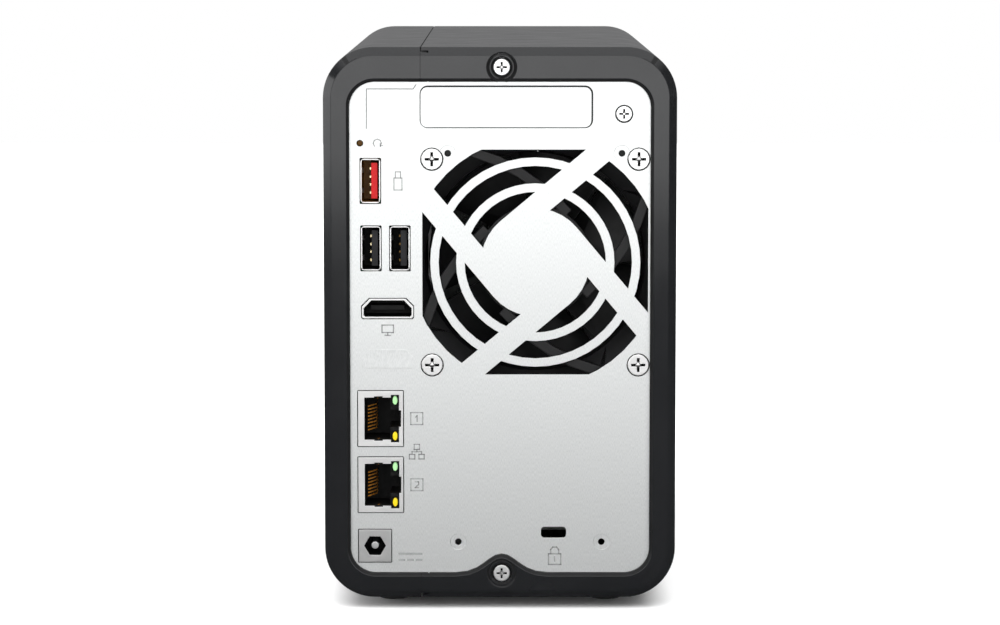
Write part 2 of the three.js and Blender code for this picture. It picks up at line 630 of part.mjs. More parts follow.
// The main board carries the sockets that are soldered to it: memory, backplane, fan and reset switch.
function buildBoard() {
  const rear = panelIn + BOARD.rear;
  const { y, thick } = BACKPLANE;
  const board = box(BOARD.x, boardFace, rear, rear + BOARD.length, BOARD.low, BOARD.high);
  const seat = boardFace - 0.5;
  const linkSocket = box(seat, boardFace + 8, y - 3, y + thick + 3, LINK.low - 2, LINK.high + 2);
  const slotY = [y - FIT, y + thick + FIT];
  const linkSlot = box(boardFace + 3, boardFace + 9, ...slotY, LINK.low - FIT, LINK.high + FIT);
  const fanHeader = box(seat, FAN_PLUG.x, FAN_PLUG.y - 3, FAN_PLUG.y + 3, FAN_PLUG.z - 4, FAN_PLUG.z + 4);
  const memorySocket = box(seat, boardFace + 4, -4, 2, 58, 128);
  const resetSwitch = box(seat, RESET.x + 2.4, panelIn + 3.8, panelIn + 9, RESET.z - 2.4, RESET.z + 2.4);
  const soldered = [linkSocket.subtract(linkSlot), fanHeader, memorySocket, resetSwitch];
  place("main_board", union([board, ...soldered]), greenBoard);
  place("memory_module", box(boardFace + 1.6, boardFace + 2.8, 2 + FIT, 31, 59.4, 127), greenBoard);

  const { x, low, high, front } = BRACKET;
  const sheet = box(x, x + BRACKET.thick, panelIn + FIT, front, low, high);
  const windows = [-60, 0, 60].map((at) => box(x - 1, x + 3, at - 10, at + 10, 50, 120));
  const standoffs = [];
  for (const at of [-95, 45])
    for (const z of [low + 8, high - 8]) standoffs.push(rodX(at, z, 3, x + 0.5, BOARD.x - FIT));
  place("board_bracket", union([cut(sheet, windows), ...standoffs]), plainSteel);

  const base = boardFace + FIT;
  const fins = [box(base, base + 2, -51, -27, 72, 96), box(base + 1.5, base + 4, -62, -16, 62, 106)];
  for (let i = 0; i < 9; i += 1) {
    const z = 62 + i * 5.3;
    fins.push(box(base + 3, base + 17, -62, -16, z, z + 1.6));
  }
  place("heat_sink", union(fins), aluminium);
}

// ---- Sockets in the rear panel ----

// Local frame of a socket: its face at y = 0, its body along +Y.
function socketGroup(x, z, parent = unit, y = socketFace) {
  const group = new THREE.Group();
  group.position.set(x, y, z);
  parent.add(group);
  return group;
}

function usbPort(name, group, tongueMaterial) {
  const [w, t] = [USB.wide / 2, USB.tall / 2];
  const shell = plate(roundedRect(0, 0, USB.wide, USB.tall, USB.corner), 0, USB.deep, 3);
  const bore = roundedRect(0, 0, USB.wide - 2 * USB.wall, USB.tall - 2 * USB.wall, 0.4);
  place(name + "_shell", shell.subtract(plate(bore, -1, USB.deep - 0.5, 2)), plainSteel, group);
  const [iw, it] = [w - USB.wall - FIT / 2, t - USB.wall - FIT / 2];
  const block = box(-iw, iw, USB.deep - 4, USB.deep - 0.8, -it, it);
  const tongue = box(0.2, 2.1, 1.2, USB.deep - 3.5, -5.35, 5.35);
  place(name + "_tongue", block.add(tongue), tongueMaterial, group);
}

function lanJack(number, z) {
  const group = socketGroup(LAN.x, z);
  const [w, t, wall] = [LAN.wide / 2, LAN.tall / 2, LAN.wall];
  const [lightX, lightZ] = [LAN_LIGHT.wide / 2 + 0.5, LAN_LIGHT.tall / 2 + 0.5];
  const windows = (deep) =>
    [-1, 1].map((side) => {
      const at = side * LAN_LIGHT.z;
      return box(LAN_LIGHT.x - lightX, LAN_LIGHT.x + lightX, -1, deep, at - lightZ, at + lightZ);
    });
  const face = [
    box(-4.8, 5.5, -1, 1, -6.35, 6.35), // plug opening
    box(-1.9, 0.6, -1, 1, -6.7, 6.7), // spring notches
    box(5.4, 6.1, -1, 1, -2.45, 2.45), // latch notch
    ...windows(1),
  ];
  const hollow = box(-w + wall, w - wall, 0.5, LAN.deep - wall, -t + wall, t - wall);
  const shield = box(-w, w, 0, LAN.deep, -t, t).subtract(hollow);
  place(`lan_jack_${number}_shield`, cut(shield, face), plainSteel, group);
  const [iw, it] = [w - wall - FIT / 2, t - wall - FIT / 2];
  const insert = cut(box(-iw, iw, 0.7, LAN.deep - 0.6, -it, it), [
    box(-4.7, 2.9, 0, 14, -6.2, 6.2),
    box(2.8, iw - 0.5, 0, 14, -2.6, 2.6),
    ...windows(1.6),
  ]);
  const lights = [-1, 1].map((side) => {
    const oval = new THREE.Shape();
    oval.absellipse(LAN_LIGHT.x, side * LAN_LIGHT.z, LAN_LIGHT.wide / 2, LAN_LIGHT.tall / 2, 0, 2 * Math.PI);
    return plate(oval, 0.9, 2, 5);
  });
  place(`lan_jack_${number}_insert`, union([insert, ...lights]), blackInsulator, group);
}

function buildSockets() {
  for (const p of USB_PORTS) {
    const material = p.name === "usb_fast_port" ? redInsulator : blackInsulator;
    usbPort(p.name, socketGroup(p.x, p.z), material);
  }
  LAN_HEIGHTS.forEach((z, i) => lanJack(i + 1, z));

  const video = socketGroup(VIDEO.x, VIDEO.z);
  const inner = (shrink) => socketOutline(0, 0, VIDEO.wide - 2 * shrink, VIDEO.tall - 2 * shrink);
  const shell = plate(inner(0), 0, VIDEO.deep).subtract(plate(inner(VIDEO.wall), -1, VIDEO.deep - 0.5));
  place("video_port_shell", shell, plainSteel, video);
  const block = plate(inner(VIDEO.wall + FIT / 2), VIDEO.deep - 4, VIDEO.deep - 0.8);
  place("video_port_tongue", block.add(box(-5, 5, 1.2, VIDEO.deep - 3, -0.5, 0.9)), blackInsulator, video);

  const power = socketGroup(POWER_JACK.x, POWER_JACK.z);
  const half = POWER_JACK.size / 2;
  const bore = new THREE.CylinderGeometry(POWER_JACK.bore, POWER_JACK.bore, 11, 6);
  bore.rotateY(Math.PI / 6);
  bore.translate(0, 4.5, 0);
  const body = cut(box(-half, half, 0, POWER_JACK.deep, -half, half), [
    solidOf(bore),
    rodY(0, 0, POWER_JACK.pin + FIT, 9, POWER_JACK.deep + 1, 16),
  ]);
  place("power_jack_body", body, plainSteel, power);
  place("power_jack_pin", rodY(0, 0, POWER_JACK.pin, 1, POWER_JACK.deep - 0.5, 16), screwSteel, power);

  const reset = socketGroup(RESET.x, RESET.z, unit, panelIn);
  const stem = [rodY(0, 0, RESET.plunger, 0.4, 3.0, 12), rodY(0, 0, 1.2, 1.6, 3.0, 12)];
  place("reset_button", union(stem), blackInsulator, reset);
}

// ---- Drive cage, backplane ----

const trayCentres = [FIRST_TRAY, FIRST_TRAY + TRAY.pitch];

function buildCage() {
  const { left, right, low, high, sheet, rear, front } = CAGE;
  const linkWindow = box(left - 3, left + 1, BACKPLANE.y - 2, BACKPLANE.y + 4, LINK.low - 2, LINK.high + 2);
  const wall = (x0, z0, z1, windows) => cut(box(x0, x0 + sheet, rear, front, z0, z1), windows);
  const sideWindows = (x) => [-50, -18, 14, 46].map((y) => box(x - 1, x + 2, y - 7, y + 7, 48, 104));
  const leftX = left - sheet;
  const [floor, roof] = [bodyLow + CASE.wall + 0.8, bodyHigh - CASE.wall - 0.8];
  place("cage_side_left", wall(leftX, floor, roof, [linkWindow, ...sideWindows(leftX)]), plainSteel);
  place("cage_side_right", wall(right, 17, 153, sideWindows(right)), plainSteel);
  const guides = (z0, z1) =>
    trayCentres.flatMap((c) =>
      [-1, 1].map((s) => {
        const x = c + s * (TRAY.body / 2 + FIT + 0.5);
        return box(x - 0.5, x + 0.5, TRAY.rear, front, z0, z1);
      }),
    );
  const deck = (z0) => box(left + FIT, right - FIT, rear, front, z0, z0 + sheet);
  place("cage_top", union([deck(high), ...guides(high - GUIDE_RIB, high + 0.5)]), plainSteel);
  place("cage_bottom", union([deck(low), ...guides(low + sheet - 0.5, low + sheet + GUIDE_RIB)]), plainSteel);
}

// The backplane: an upright board with an edge connector to the main board and a socket for each drive.
function buildBackplane() {
  const { y, thick, margin } = BACKPLANE;
  const board = box(CAGE.left + margin, CAGE.right - margin, y, y + thick, CAGE.low + 5, CAGE.high - 5);
  const tab = box(boardFace + 4, CAGE.left + 2, y, y + thick, LINK.low, LINK.high);
  const between = FIRST_TRAY + TRAY.pitch / 2;
  const vents = [-1, 1].map((s) => {
    const z = TRAY.mid + s * 30;
    return box(between - 3.5, between + 3.5, y - 1, y + 3, z - 15, z + 15);
  });
  const sockets = trayCentres.map((x) =>
    box(x - 3, x + 3, y + thick - 0.5, DRIVE.rear - FIT, TRAY.mid - 21, TRAY.mid + 21),
  );
  place("backplane_board", cut(union([board, tab, ...sockets]), vents), greenBoard);
}

// ---- Drive trays ----

// One tray, with x = 0 at its middle.
function tray(number, centre) {
  const group = new THREE.Group();
  group.position.set(centre, 0, 0);
  unit.add(group);
  const name = `tray_${number}`;
  const half = TRAY.body / 2;
  const [low, high] = [TRAY.mid - TRAY.tall / 2, TRAY.mid + TRAY.tall / 2];
  const front = BEZEL.rear - FIT;

  const side = box(-half, -half + TRAY.plate, TRAY.rear, front, low, high);
  const windows = [-40, 0, 40].map((y) => box(-half - 1, -half + 3, y - 9, y + 9, low + 22, high - 22));
  const rails = [low, high - TRAY.rail].map((z) => box(-half, half, TRAY.rear, front, z, z + TRAY.rail));
  const hollow = box(-half + 4, half - 4, front - 4, front + 1, low + 12, high - 12);
  const end = box(-half, half, front - 3, front, low, high).subtract(hollow);
  place(`${name}_frame`, union([cut(side, windows), ...rails, end]), blackPlastic, group);

  const [bz0, bz1] = [TRAY.mid - BEZEL.tall / 2, TRAY.mid + BEZEL.tall / 2];
  const wide = BEZEL.wide / 2;
  const well = LEVER.wide / 2 + 0.6;
  const slots = [];
  for (const z of [bz0 + 3.4, bz1 - 13, bz1 - 9.2, bz1 - 5.4])
    slots.push(box(-wide + 5, wide - 5, BEZEL.rear - 1, BEZEL.front + 1, z, z + 1.8));
  const face = roundedRect(0, TRAY.mid, BEZEL.wide, BEZEL.tall, 1.2);
  const bezel = cut(plate(face, BEZEL.rear, BEZEL.front, 3, 0.6), [
    box(-well, well, POCKET.floor, BEZEL.front + 1, POCKET.low, POCKET.high),
    rodX(LEVER.axisY, LEVER.axisZ, LEVER.pin + FIT, -wide + 1, wide - 1),
    ...slots,
  ]);
  place(`${name}_bezel`, bezel, blackPlastic, group);

  const hw = LEVER.wide / 2;
  const grip = [0, 1, 2, 3].map((i) => {
    const z = LEVER.top - 18 + i * 4;
    return box(-hw + 3, hw - 3, LEVER.face - 0.5, LEVER.face + 1, z, z + 1.6);
  });
  const slab = box(-hw, hw, LEVER.back, LEVER.face, LEVER.axisZ, LEVER.top);
  const knuckle = rodX(LEVER.axisY, LEVER.axisZ, LEVER.knuckle, -hw, hw, 20);
  const trunnions = rodX(LEVER.axisY, LEVER.axisZ, LEVER.pin, -wide + 1.5, wide - 1.5);
  place(`${name}_lever`, union([cut(slab, grip), knuckle, trunnions]), blackPlastic, group);

  const rw = RELEASE.wide / 2;
  const release = box(-rw, rw, RELEASE.back, RELEASE.face, RELEASE.low, RELEASE.high);
  place(`${name}_release`, release, blackPlastic, group);

  const casing = new THREE.BoxGeometry(DRIVE.thick, DRIVE.length, DRIVE.wide);
  casing.translate(0, DRIVE.rear + DRIVE.length / 2, TRAY.mid);
  place(`drive_${number}`, casing, driveCasting, group);
}

// ---- Front: fascia, controls, light bar ----

function buildFront() {
  const { edge, rear, front } = FASCIA;
  const [y0, y1] = [rear - 1, front + 1];
  const bay = {
    left: trayCentres[0] - BEZEL.wide / 2 - 0.35,
    right: trayCentres[1] + BEZEL.wide / 2 + 0.35,
    low: TRAY.mid - BEZEL.tall / 2 - 0.5,
    high: TRAY.mid + BEZEL.tall / 2 + 0.5,
  };
  const opening = (z, wide, tall, r) =>
    plate(roundedRect(STRIP_X, z, wide + 2 * FIT, tall + 2 * FIT, r), y0, y1, 3);
  const cutters = [
    box(bay.left, bay.right, y0, y1, bay.low, bay.high),
    rodY(STRIP_X, POWER_BUTTON.z, POWER_BUTTON.radius + FIT, y0, y1),
    rodY(STRIP_X, COPY_BUTTON.z, COPY_BUTTON.radius + FIT, y0, y1),
    opening(FRONT_USB_Z, USB.wide, USB.tall, 0.8),
    opening(LIGHT_BAR.z, LIGHT_BAR.wide, LIGHT_BAR.tall, 0.2),
  ];
  for (let x = bay.left + 6; x < bay.right - 4; x += 5)
    cutters.push(plate(roundedRect(x, (bay.high + bodyHigh) / 2 - 1, 2.2, 12, 1.1), y0, y1, 2));
  place("front_fascia", cut(plate(insideCase(edge), rear, front, 6), cutters), blackPlastic);

  // The board behind the controls, with the two push switches soldered to it.
  const { left, right, low, high, thick } = FRONT_BOARD;
  const face = FRONT_BOARD.y + thick;
  const sheet = box(left, right, FRONT_BOARD.y, face, low, high);
  const controls = [
    { name: "power_button", ...POWER_BUTTON },
    { name: "copy_button", ...COPY_BUTTON },
  ];
  const switchTop = face + 3.0;
  const half = 3;
  const switches = controls.map((c) =>
    box(STRIP_X - half, STRIP_X + half, face - 0.5, switchTop, c.z - half, c.z + half),
  );
  place("front_board", union([sheet, ...switches]), greenBoard);
  for (const c of controls) {
    const group = new THREE.Group();
    group.position.set(STRIP_X, 0, c.z);
    unit.add(group);
    const flange = rear - 1.8;
    const cap = union([
      rodY(0, 0, c.radius, flange, c.face),
      rodY(0, 0, c.radius + 1.2, flange, flange + 1),
      rodY(0, 0, 1.8, switchTop + 1.4, flange + 0.5, 12),
    ]);
    place(c.name, cap, blackPlastic, group);
  }
  usbPort("usb_front_port", usbFrontGroup(face + FIT), redInsulator);
  const bar = box(
    STRIP_X - LIGHT_BAR.wide / 2,
    STRIP_X + LIGHT_BAR.wide / 2,
    face + 2,
    LIGHT_BAR.face,
    LIGHT_BAR.z - LIGHT_BAR.tall / 2,
    LIGHT_BAR.z + LIGHT_BAR.tall / 2,
  );
  place("status_light_bar", bar, clearLens);
}

// The front USB socket is turned round, so that its face looks along +Y.
function usbFrontGroup(low) {
  const group = socketGroup(STRIP_X, FRONT_USB_Z, unit, low + USB.deep);
  group.rotation.z = Math.PI;
  return group;
}

// ---- Fan lead: a thin cable from the fan to its header on the main board ----

function buildFanLead() {
  const start = { x: GRILLE.x - FAN.size / 2 - 0.7, y: panelIn + FAN.depth - 3, z: GRILLE.z - 20 };
  const end = { x: FAN_PLUG.x + FIT, y: FAN_PLUG.y, z: FAN_PLUG.z };
  const route = [
    [start.x, start.y, start.z],
    [start.x - 2.5, start.y, start.z + 0.2],
    [start.x - 6.0, start.y + 1.5, start.z + 2],
    [start.x - 8.0, start.y + 5, start.z + 4.5],
    [start.x - 9.2, start.y + 10, start.z + 7.5],
    [start.x - 10.6, start.y + 14.5, start.z + 9.5],
    [end.x + 2.6, end.y, end.z],
    [end.x, end.y, end.z],
  ].map((p) => new THREE.Vector3(...p));
  const section = new THREE.Shape().absarc(0, 0, 1.1, 0, 2 * Math.PI);
  const tube = new THREE.ExtrudeGeometry(section, {
    extrudePath: new THREE.CatmullRomCurve3(route),
    steps: 18,
    curveSegments: 4,
    bevelEnabled: false,
  });
  place("fan_lead", solidOf(tube), leadJacket);
}

buildCase();
buildScrews();
buildRearPanel();
buildFan();
buildBoard();
buildSockets();
buildCage();
buildBackplane();
trayCentres.forEach((x, i) => tray(i + 1, x));
buildFront();
buildFanLead();

export default unit;
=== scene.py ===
"""Looks of a two-bay network storage unit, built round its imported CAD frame.

Metres, +Z up. The socket panel faces -Y and the drive trays face +Y, as in the CAD frame.
"""

import json
import math

import bmesh
import bpy
from mathutils import Matrix, Vector


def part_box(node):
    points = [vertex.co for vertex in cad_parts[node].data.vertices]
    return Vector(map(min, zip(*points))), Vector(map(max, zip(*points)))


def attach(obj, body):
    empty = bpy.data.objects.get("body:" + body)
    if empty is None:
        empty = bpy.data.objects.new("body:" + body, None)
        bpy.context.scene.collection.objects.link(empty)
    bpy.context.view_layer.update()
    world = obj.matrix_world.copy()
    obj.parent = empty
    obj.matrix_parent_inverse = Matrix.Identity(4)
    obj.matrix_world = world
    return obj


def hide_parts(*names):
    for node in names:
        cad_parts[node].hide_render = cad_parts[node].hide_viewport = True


MM = 0.001
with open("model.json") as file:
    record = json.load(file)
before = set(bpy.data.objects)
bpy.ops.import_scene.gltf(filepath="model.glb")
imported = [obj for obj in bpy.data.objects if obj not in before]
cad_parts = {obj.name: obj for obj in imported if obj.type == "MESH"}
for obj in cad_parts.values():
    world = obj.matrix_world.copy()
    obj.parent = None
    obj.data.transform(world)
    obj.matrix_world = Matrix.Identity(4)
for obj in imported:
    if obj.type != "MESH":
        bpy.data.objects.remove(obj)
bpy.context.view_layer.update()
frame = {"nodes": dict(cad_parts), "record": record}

# ---- Camera, lights and floor ----

CAMERA_AT = (0, -1.1786, 0.2037)
CAMERA_DOWN = 6.13  # degrees below the horizon
CAMERA_LENS = 129.7
SENSOR_WIDE = 36
FLOOR_HALF = 2.2
KEY = {"x": -0.12, "y": -1.5, "wide": 3.2}
KEY_PARTS = ((0.012, 0.33, 2.8), (0.33, 1.9, 1.3))  # lowest and highest point, and radiance
# A softbox is its name, centre, width and length, radiance, and the point that it faces.
OVERHEAD = ("overhead", (0, 1.3, 2.6), (4, 6), 2.0, (0, 1.3, 0))
SIDE_BOXES = (
    ("left", (-1.5, 1.2, 0.8), (1.8, 1.4), 2.0, (0, 0, 0.1)),
    ("edge", (-1.4, 0.05, 0.36), (1.0, 0.7), 2.2, (0, 0, 0.05)),
    ("right", (1.8, 1.6, 1.1), (1.6, 1.4), 1.4, (0, 0, 0.1)),
    ("back", (0, 2.2, 0.75), (3.5, 1.4), 0.1, (0, 0, 0.2)),
)
# The room's brightness by height, from 0 straight down through 0.5 at the horizon to 1 overhead.
SKY_LOW = (0.485, 0.03)
SKY_HIGH = (0.9, 1.4)
SKY_BETWEEN = ((0.5, 0.17), (0.62, 0.04), (0.78, 0.07))
SKY_BLUE = 1.02  # the middle greys' blue against their red

# ---- Materials ----

PATTERN_LOW, PATTERN_HIGH = 0.3, 0.7  # the part of a pattern's span that its colours and gloss follow


class Finish:
    """A material with its Principled shader, and short ways to wire patterns into it."""

    def __init__(self, name, colour, roughness, metallic=0.0, **sockets):
        self.material = bpy.data.materials.new(name)
        self.material.use_nodes = True
        self.tree = self.material.node_tree
        self.shader = self.tree.nodes["Principled BSDF"]
        self.shader.inputs["Base Color"].default_value = (*colour, 1)
        self.shader.inputs["Roughness"].default_value = roughness
        self.shader.inputs["Metallic"].default_value = metallic
        for socket, value in sockets.items():
            self.shader.inputs[socket.replace("_", " ")].default_value = value
        self.material.diffuse_color = (*colour, 1)
        self.place = self.add("ShaderNodeTexCoord").outputs["Object"]

    def add(self, kind, **settings):
        node = self.tree.nodes.new(kind)
        for key, value in settings.items():
            setattr(node, key, value)
        return node

    def link(self, output, socket):
        self.tree.links.new(output, socket)

    def noise(self, size, stretch=(1, 1, 1), detail=3.0):
        """A noise with features about size metres across, drawn out along an axis by stretch."""
        mapping = self.add("ShaderNodeMapping")
        mapping.inputs["Scale"].default_value = [1 / (size * s) for s in stretch]
        self.link(self.place, mapping.inputs["Vector"])
        texture = self.add("ShaderNodeTexNoise")
        texture.inputs["Scale"].default_value = 1.0
        texture.inputs["Detail"].default_value = detail
        self.link(mapping.outputs["Vector"], texture.inputs["Vector"])
        return texture.outputs["Fac"]

    def ranged(self, value, low, high):
        """A pattern brought into a range of numbers."""
        ramp = self.add("ShaderNodeMapRange")
        ramp.inputs["From Min"].default_value = PATTERN_LOW
        ramp.inputs["From Max"].default_value = PATTERN_HIGH
        ramp.inputs["To Min"].default_value = low
        ramp.inputs["To Max"].default_value = high
        self.link(value, ramp.inputs["Value"])
        return ramp.outputs["Result"]

    def rough(self, value, low, high):
        """Makes the gloss vary along a pattern."""
        self.link(self.ranged(value, low, high), self.shader.inputs["Roughness"])

    def tint(self, value, dark, light):
        """Colours the surface between two colours along a pattern."""
        mix = self.add("ShaderNodeMix", data_type="RGBA")
        mix.inputs["A"].default_value = (*dark, 1)
        mix.inputs["B"].default_value = (*light, 1)
        self.link(self.ranged(value, 0, 1), mix.inputs["Factor"])
        self.link(mix.outputs["Result"], self.shader.inputs["Base Color"])

    def bump(self, value, depth):
        """Relief of the given depth in metres."""
        node = self.add("ShaderNodeBump")
        node.inputs["Distance"].default_value = depth
        node.inputs["Strength"].default_value = 1.0
        self.link(value, node.inputs["Height"])
        self.link(node.outputs["Normal"], self.shader.inputs["Normal"])


def case_plastic():
    f = Finish("case_plastic", (0.011, 0.0115, 0.0125), 0.13, Specular_IOR_Level=0.42)
    f.rough(f.noise(0.012), 0.115, 0.15)
    f.tint(f.noise(0.03), (0.009, 0.0095, 0.0105), (0.011, 0.0115, 0.0125))
    f.bump(f.noise(0.0009, detail=2), 0.0000012)
    return f


def satin_plastic(name="satin_plastic", colour=(0.011, 0.011, 0.0118)):
    f = Finish(name, colour, 0.36)
    f.rough(f.noise(0.004), 0.31, 0.41)
    f.tint(f.noise(0.02), [0.9 * c for c in colour], [1.15 * c for c in colour])
    f.bump(f.noise(0.00035, detail=4), 0.000006)
    return f


def fan_plastic():
    f = Finish("fan_plastic", (0.008, 0.008, 0.0085), 0.42, Specular_IOR_Level=0.32)
    f.rough(f.noise(0.002), 0.37, 0.48)
    f.tint(f.noise(0.006), (0.007, 0.007, 0.0075), (0.009, 0.009, 0.0095))
    f.bump(f.noise(0.0005), 0.000008)
    return f


def brushed_steel():
    f = Finish("brushed_steel", (0.84, 0.85, 0.848), 0.37, 1.0)
    grain = f.noise(0.00015, stretch=(1, 1, 6), detail=2)
    f.rough(grain, 0.35, 0.41)
    f.tint(grain, (0.79, 0.81, 0.805), (0.95, 0.965, 0.962))
    f.bump(grain, 0.0000001)
    return f


def plain_steel():
    f = Finish("plain_steel", (0.3, 0.305, 0.305), 0.4, 1.0)
    f.rough(f.noise(0.0025), 0.26, 0.42)
    f.tint(f.noise(0.006, detail=5), (0.26, 0.265, 0.265), (0.34, 0.345, 0.345))
    f.bump(f.noise(0.0006, detail=5), 0.000004)
    return f


def plated_steel():
    f = Finish("plated_steel", (0.96, 0.96, 0.955), 0.36, 1.0)
    f.rough(f.noise(0.003), 0.34, 0.38)
    f.tint(f.noise(0.003), (0.94, 0.94, 0.935), (0.98, 0.98, 0.975))
    return f


def jack_nickel():
    f = Finish("jack_nickel", (0.76, 0.76, 0.76), 0.34, 1.0)
    f.rough(f.noise(0.003), 0.32, 0.36)
    f.tint(f.noise(0.003), (0.74, 0.74, 0.74), (0.79, 0.79, 0.785))
    return f


def screw_steel():
    f = Finish("screw_steel", (0.95, 0.95, 0.945), 0.34, 1.0)
    f.rough(f.noise(0.003), 0.32, 0.36)
    f.tint(f.noise(0.003), (0.93, 0.93, 0.925), (0.97, 0.97, 0.965))
    return f


def aluminium():
    f = Finish("aluminium", (0.7, 0.71, 0.71), 0.32, 1.0)
    f.rough(f.noise(0.0003, stretch=(1, 60, 1)), 0.25, 0.42)
    f.tint(f.noise(0.005), (0.64, 0.65, 0.65), (0.74, 0.75, 0.75))
    f.bump(f.noise(0.0002, stretch=(1, 80, 1)), 0.000003)
    return f


def cast_metal():
    f = Finish("cast_metal", (0.33, 0.34, 0.345), 0.45, 1.0)
    f.rough(f.noise(0.0018, detail=5), 0.36, 0.55)
    f.tint(f.noise(0.004, detail=5), (0.28, 0.285, 0.29), (0.38, 0.385, 0.39))
    f.bump(f.noise(0.0007, detail=5), 0.00002)
    return f


TRACKS_PER_METRE = 260


def circuit_board(name, dark, light):
    """Lacquer over copper tracks, which show as a net of square cells."""
    f = Finish(name, dark, 0.3)
    f.rough(f.noise(0.002), 0.24, 0.36)
    cells = f.add("ShaderNodeTexVoronoi", feature="DISTANCE_TO_EDGE", distance="MANHATTAN")
    cells.inputs["Scale"].default_value = TRACKS_PER_METRE
    f.link(f.place, cells.inputs["Vector"])
    f.tint(cells.outputs["Distance"], light, dark)
    f.bump(cells.outputs["Distance"], 0.00002)
    return f


def metal_contact(name, dark, light):
    f = Finish(name, light, 0.25, 1.0)
    f.rough(f.noise(0.0005), 0.2, 0.32)
    f.tint(f.noise(0.0008), dark, light)
    return f


def moulded(name, dark, light, roughness=0.42):
    """A small moulded plastic part, slightly mottled."""
    f = Finish(name, dark, roughness, Specular_IOR_Level=0.2)
    f.rough(f.noise(0.0015), roughness - 0.07, roughness + 0.07)
    f.tint(f.noise(0.003), dark, light)
    f.bump(f.noise(0.0003), 0.000004)
    return f


def rubber():
    f = Finish("rubber", (0.018, 0.018, 0.019), 0.8)
    f.rough(f.noise(0.001), 0.7, 0.88)
    f.tint(f.noise(0.002), (0.014, 0.014, 0.015), (0.024, 0.024, 0.025))
    f.bump(f.noise(0.0005, detail=5), 0.00003)
    return f


def lens(name, colour, glow=0.0):
    f = Finish(name, colour, 0.12, Transmission_Weight=0.35, IOR=1.49)
    f.rough(f.noise(0.0008), 0.08, 0.18)
    f.tint(f.noise(0.002), [0.85 * c for c in colour], colour)
    if glow:
        f.shader.inputs["Emission Color"].default_value = (*colour, 1)
        f.shader.inputs["Emission Strength"].default_value = glow
    return f


def engraving():
    f = Finish("engraving", (0.34, 0.345, 0.345), 0.5, 0.6)
    f.tint(f.noise(0.0006), (0.28, 0.285, 0.285), (0.42, 0.425, 0.425))
    f.rough(f.noise(0.0004), 0.45, 0.6)
    return f


FINISHES = {
    "case": case_plastic(),
    "satin": satin_plastic(),
    "tray": satin_plastic("tray_plastic", (0.016, 0.016, 0.017)),
    "fan": fan_plastic(),
    "brushed": brushed_steel(),
    "sheet": plain_steel(),
    "plated": plated_steel(),
    "screw": screw_steel(),
    "aluminium": aluminium(),
    "casting": cast_metal(),
    "nickel": jack_nickel(),
    "board": circuit_board("green_board", (0.01, 0.085, 0.04), (0.016, 0.15, 0.07)),
    "dark_board": circuit_board("black_board", (0.004, 0.008, 0.006), (0.007, 0.014, 0.01)),
    "gold": metal_contact("gold", (0.8, 0.66, 0.36), (0.95, 0.85, 0.6)),
    # Painted shade: gold contacts darkened to stand in for the shade deep in a socket.
    "shaded_gold": metal_contact("contact_painted_shade", (0.1, 0.06, 0.02), (0.18, 0.11, 0.04)),
    "copper": moulded("copper_wire", (0.29, 0.112, 0.011), (0.37, 0.155, 0.02), 0.3),
    "black": moulded("black_nylon", (0.009, 0.009, 0.01), (0.016, 0.016, 0.018)),
    "red": moulded("red_nylon", (0.42, 0.006, 0.008), (0.48, 0.009, 0.011)),
    "brown": moulded("brown_nylon", (0.17, 0.072, 0.006), (0.2, 0.085, 0.008)),
    # Painted shade: a near-black finish that darkens the insides of sockets, holes and screw recesses.
    "painted_shade": moulded("socket_painted_shade", (0.003, 0.003, 0.003), (0.005, 0.005, 0.005), 0.6),
    "groove": moulded("groove_shade", (0.03, 0.03, 0.03), (0.045, 0.045, 0.045), 0.6),
    # Painted shade: a darker, duller finish on the rim's inner lip.
    "lip_shade": moulded("rim_lip_painted_shade", (0.007, 0.007, 0.0075), (0.01, 0.01, 0.0105), 0.5),
    "label": moulded("label", (0.72, 0.72, 0.7), (0.78, 0.78, 0.76), 0.5),
    "rubber": rubber(),
    "green_lens": lens("green_lens", (0.45, 0.85, 0.4), 0.35),
    "amber_lens": lens("amber_lens", (0.95, 0.7, 0.02), 0.3),
    "clear_lens": lens("clear_lens", (0.82, 0.85, 0.86)),
    "mark": engraving(),
    "print": moulded("white_print", (0.5, 0.5, 0.5), (0.58, 0.58, 0.58), 0.5),
}

# ---- Modelling helpers ----

SHARP_TURN = 32  # degrees between two faces, past which an edge is shaded and rounded as an edge
STROKE_THICK = 0.03 * MM


def mesh_piece(name, bm, finish, body="body", sharp=SHARP_TURN):
    """Turns a bmesh into a finished piece that rides on a body."""
    mesh = bpy.data.meshes.new(name)
    bm.to_mesh(mesh)
    bm.free()
    mesh.shade_smooth()
    mesh.set_sharp_from_angle(angle=math.radians(sharp))
    mesh.materials.append(FINISHES[finish].material)
    piece = bpy.data.objects.new(name, mesh)
    bpy.context.scene.collection.objects.link(piece)
    weighted = piece.modifiers.new("even_shading", "WEIGHTED_NORMAL")
    weighted.keep_sharp = True
    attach(piece, body)
    return piece


def body_of_node(node):
    for body, nodes in frame["record"]["behaviour"]["bodies"].items():
        if node in nodes:
            return body
    return "body"


def merged_copy(node):
    """A CAD node's shape as one joined mesh with whole faces in place of triangles."""
    bm = bmesh.new()
    bm.from_mesh(frame["nodes"][node].data)
    bmesh.ops.remove_doubles(bm, verts=bm.verts, dist=1e-6)
    bmesh.ops.dissolve_limit(bm, angle_limit=math.radians(0.5), verts=bm.verts, edges=bm.edges)
    return bm


def round_edges(bm, edges, width, segments):
    bmesh.ops.bevel(
        bm, geom=edges, offset=width, offset_type="OFFSET", segments=segments, profile=0.5,
        affect="EDGES", clamp_overlap=False, material=-1,
    )


def soften(bm, width, segments, angle, crisp):
    """Rounds each edge that turns by more than the angle, but not one with both ends in the crisp part."""
    edges = [e for e in bm.edges if len(e.link_faces) == 2 and e.calc_face_angle(0) > math.radians(angle)]
    if crisp:
        edges = [e for e in edges if not all(crisp(v.co) for v in e.verts)]
    round_edges(bm, edges, width, segments)


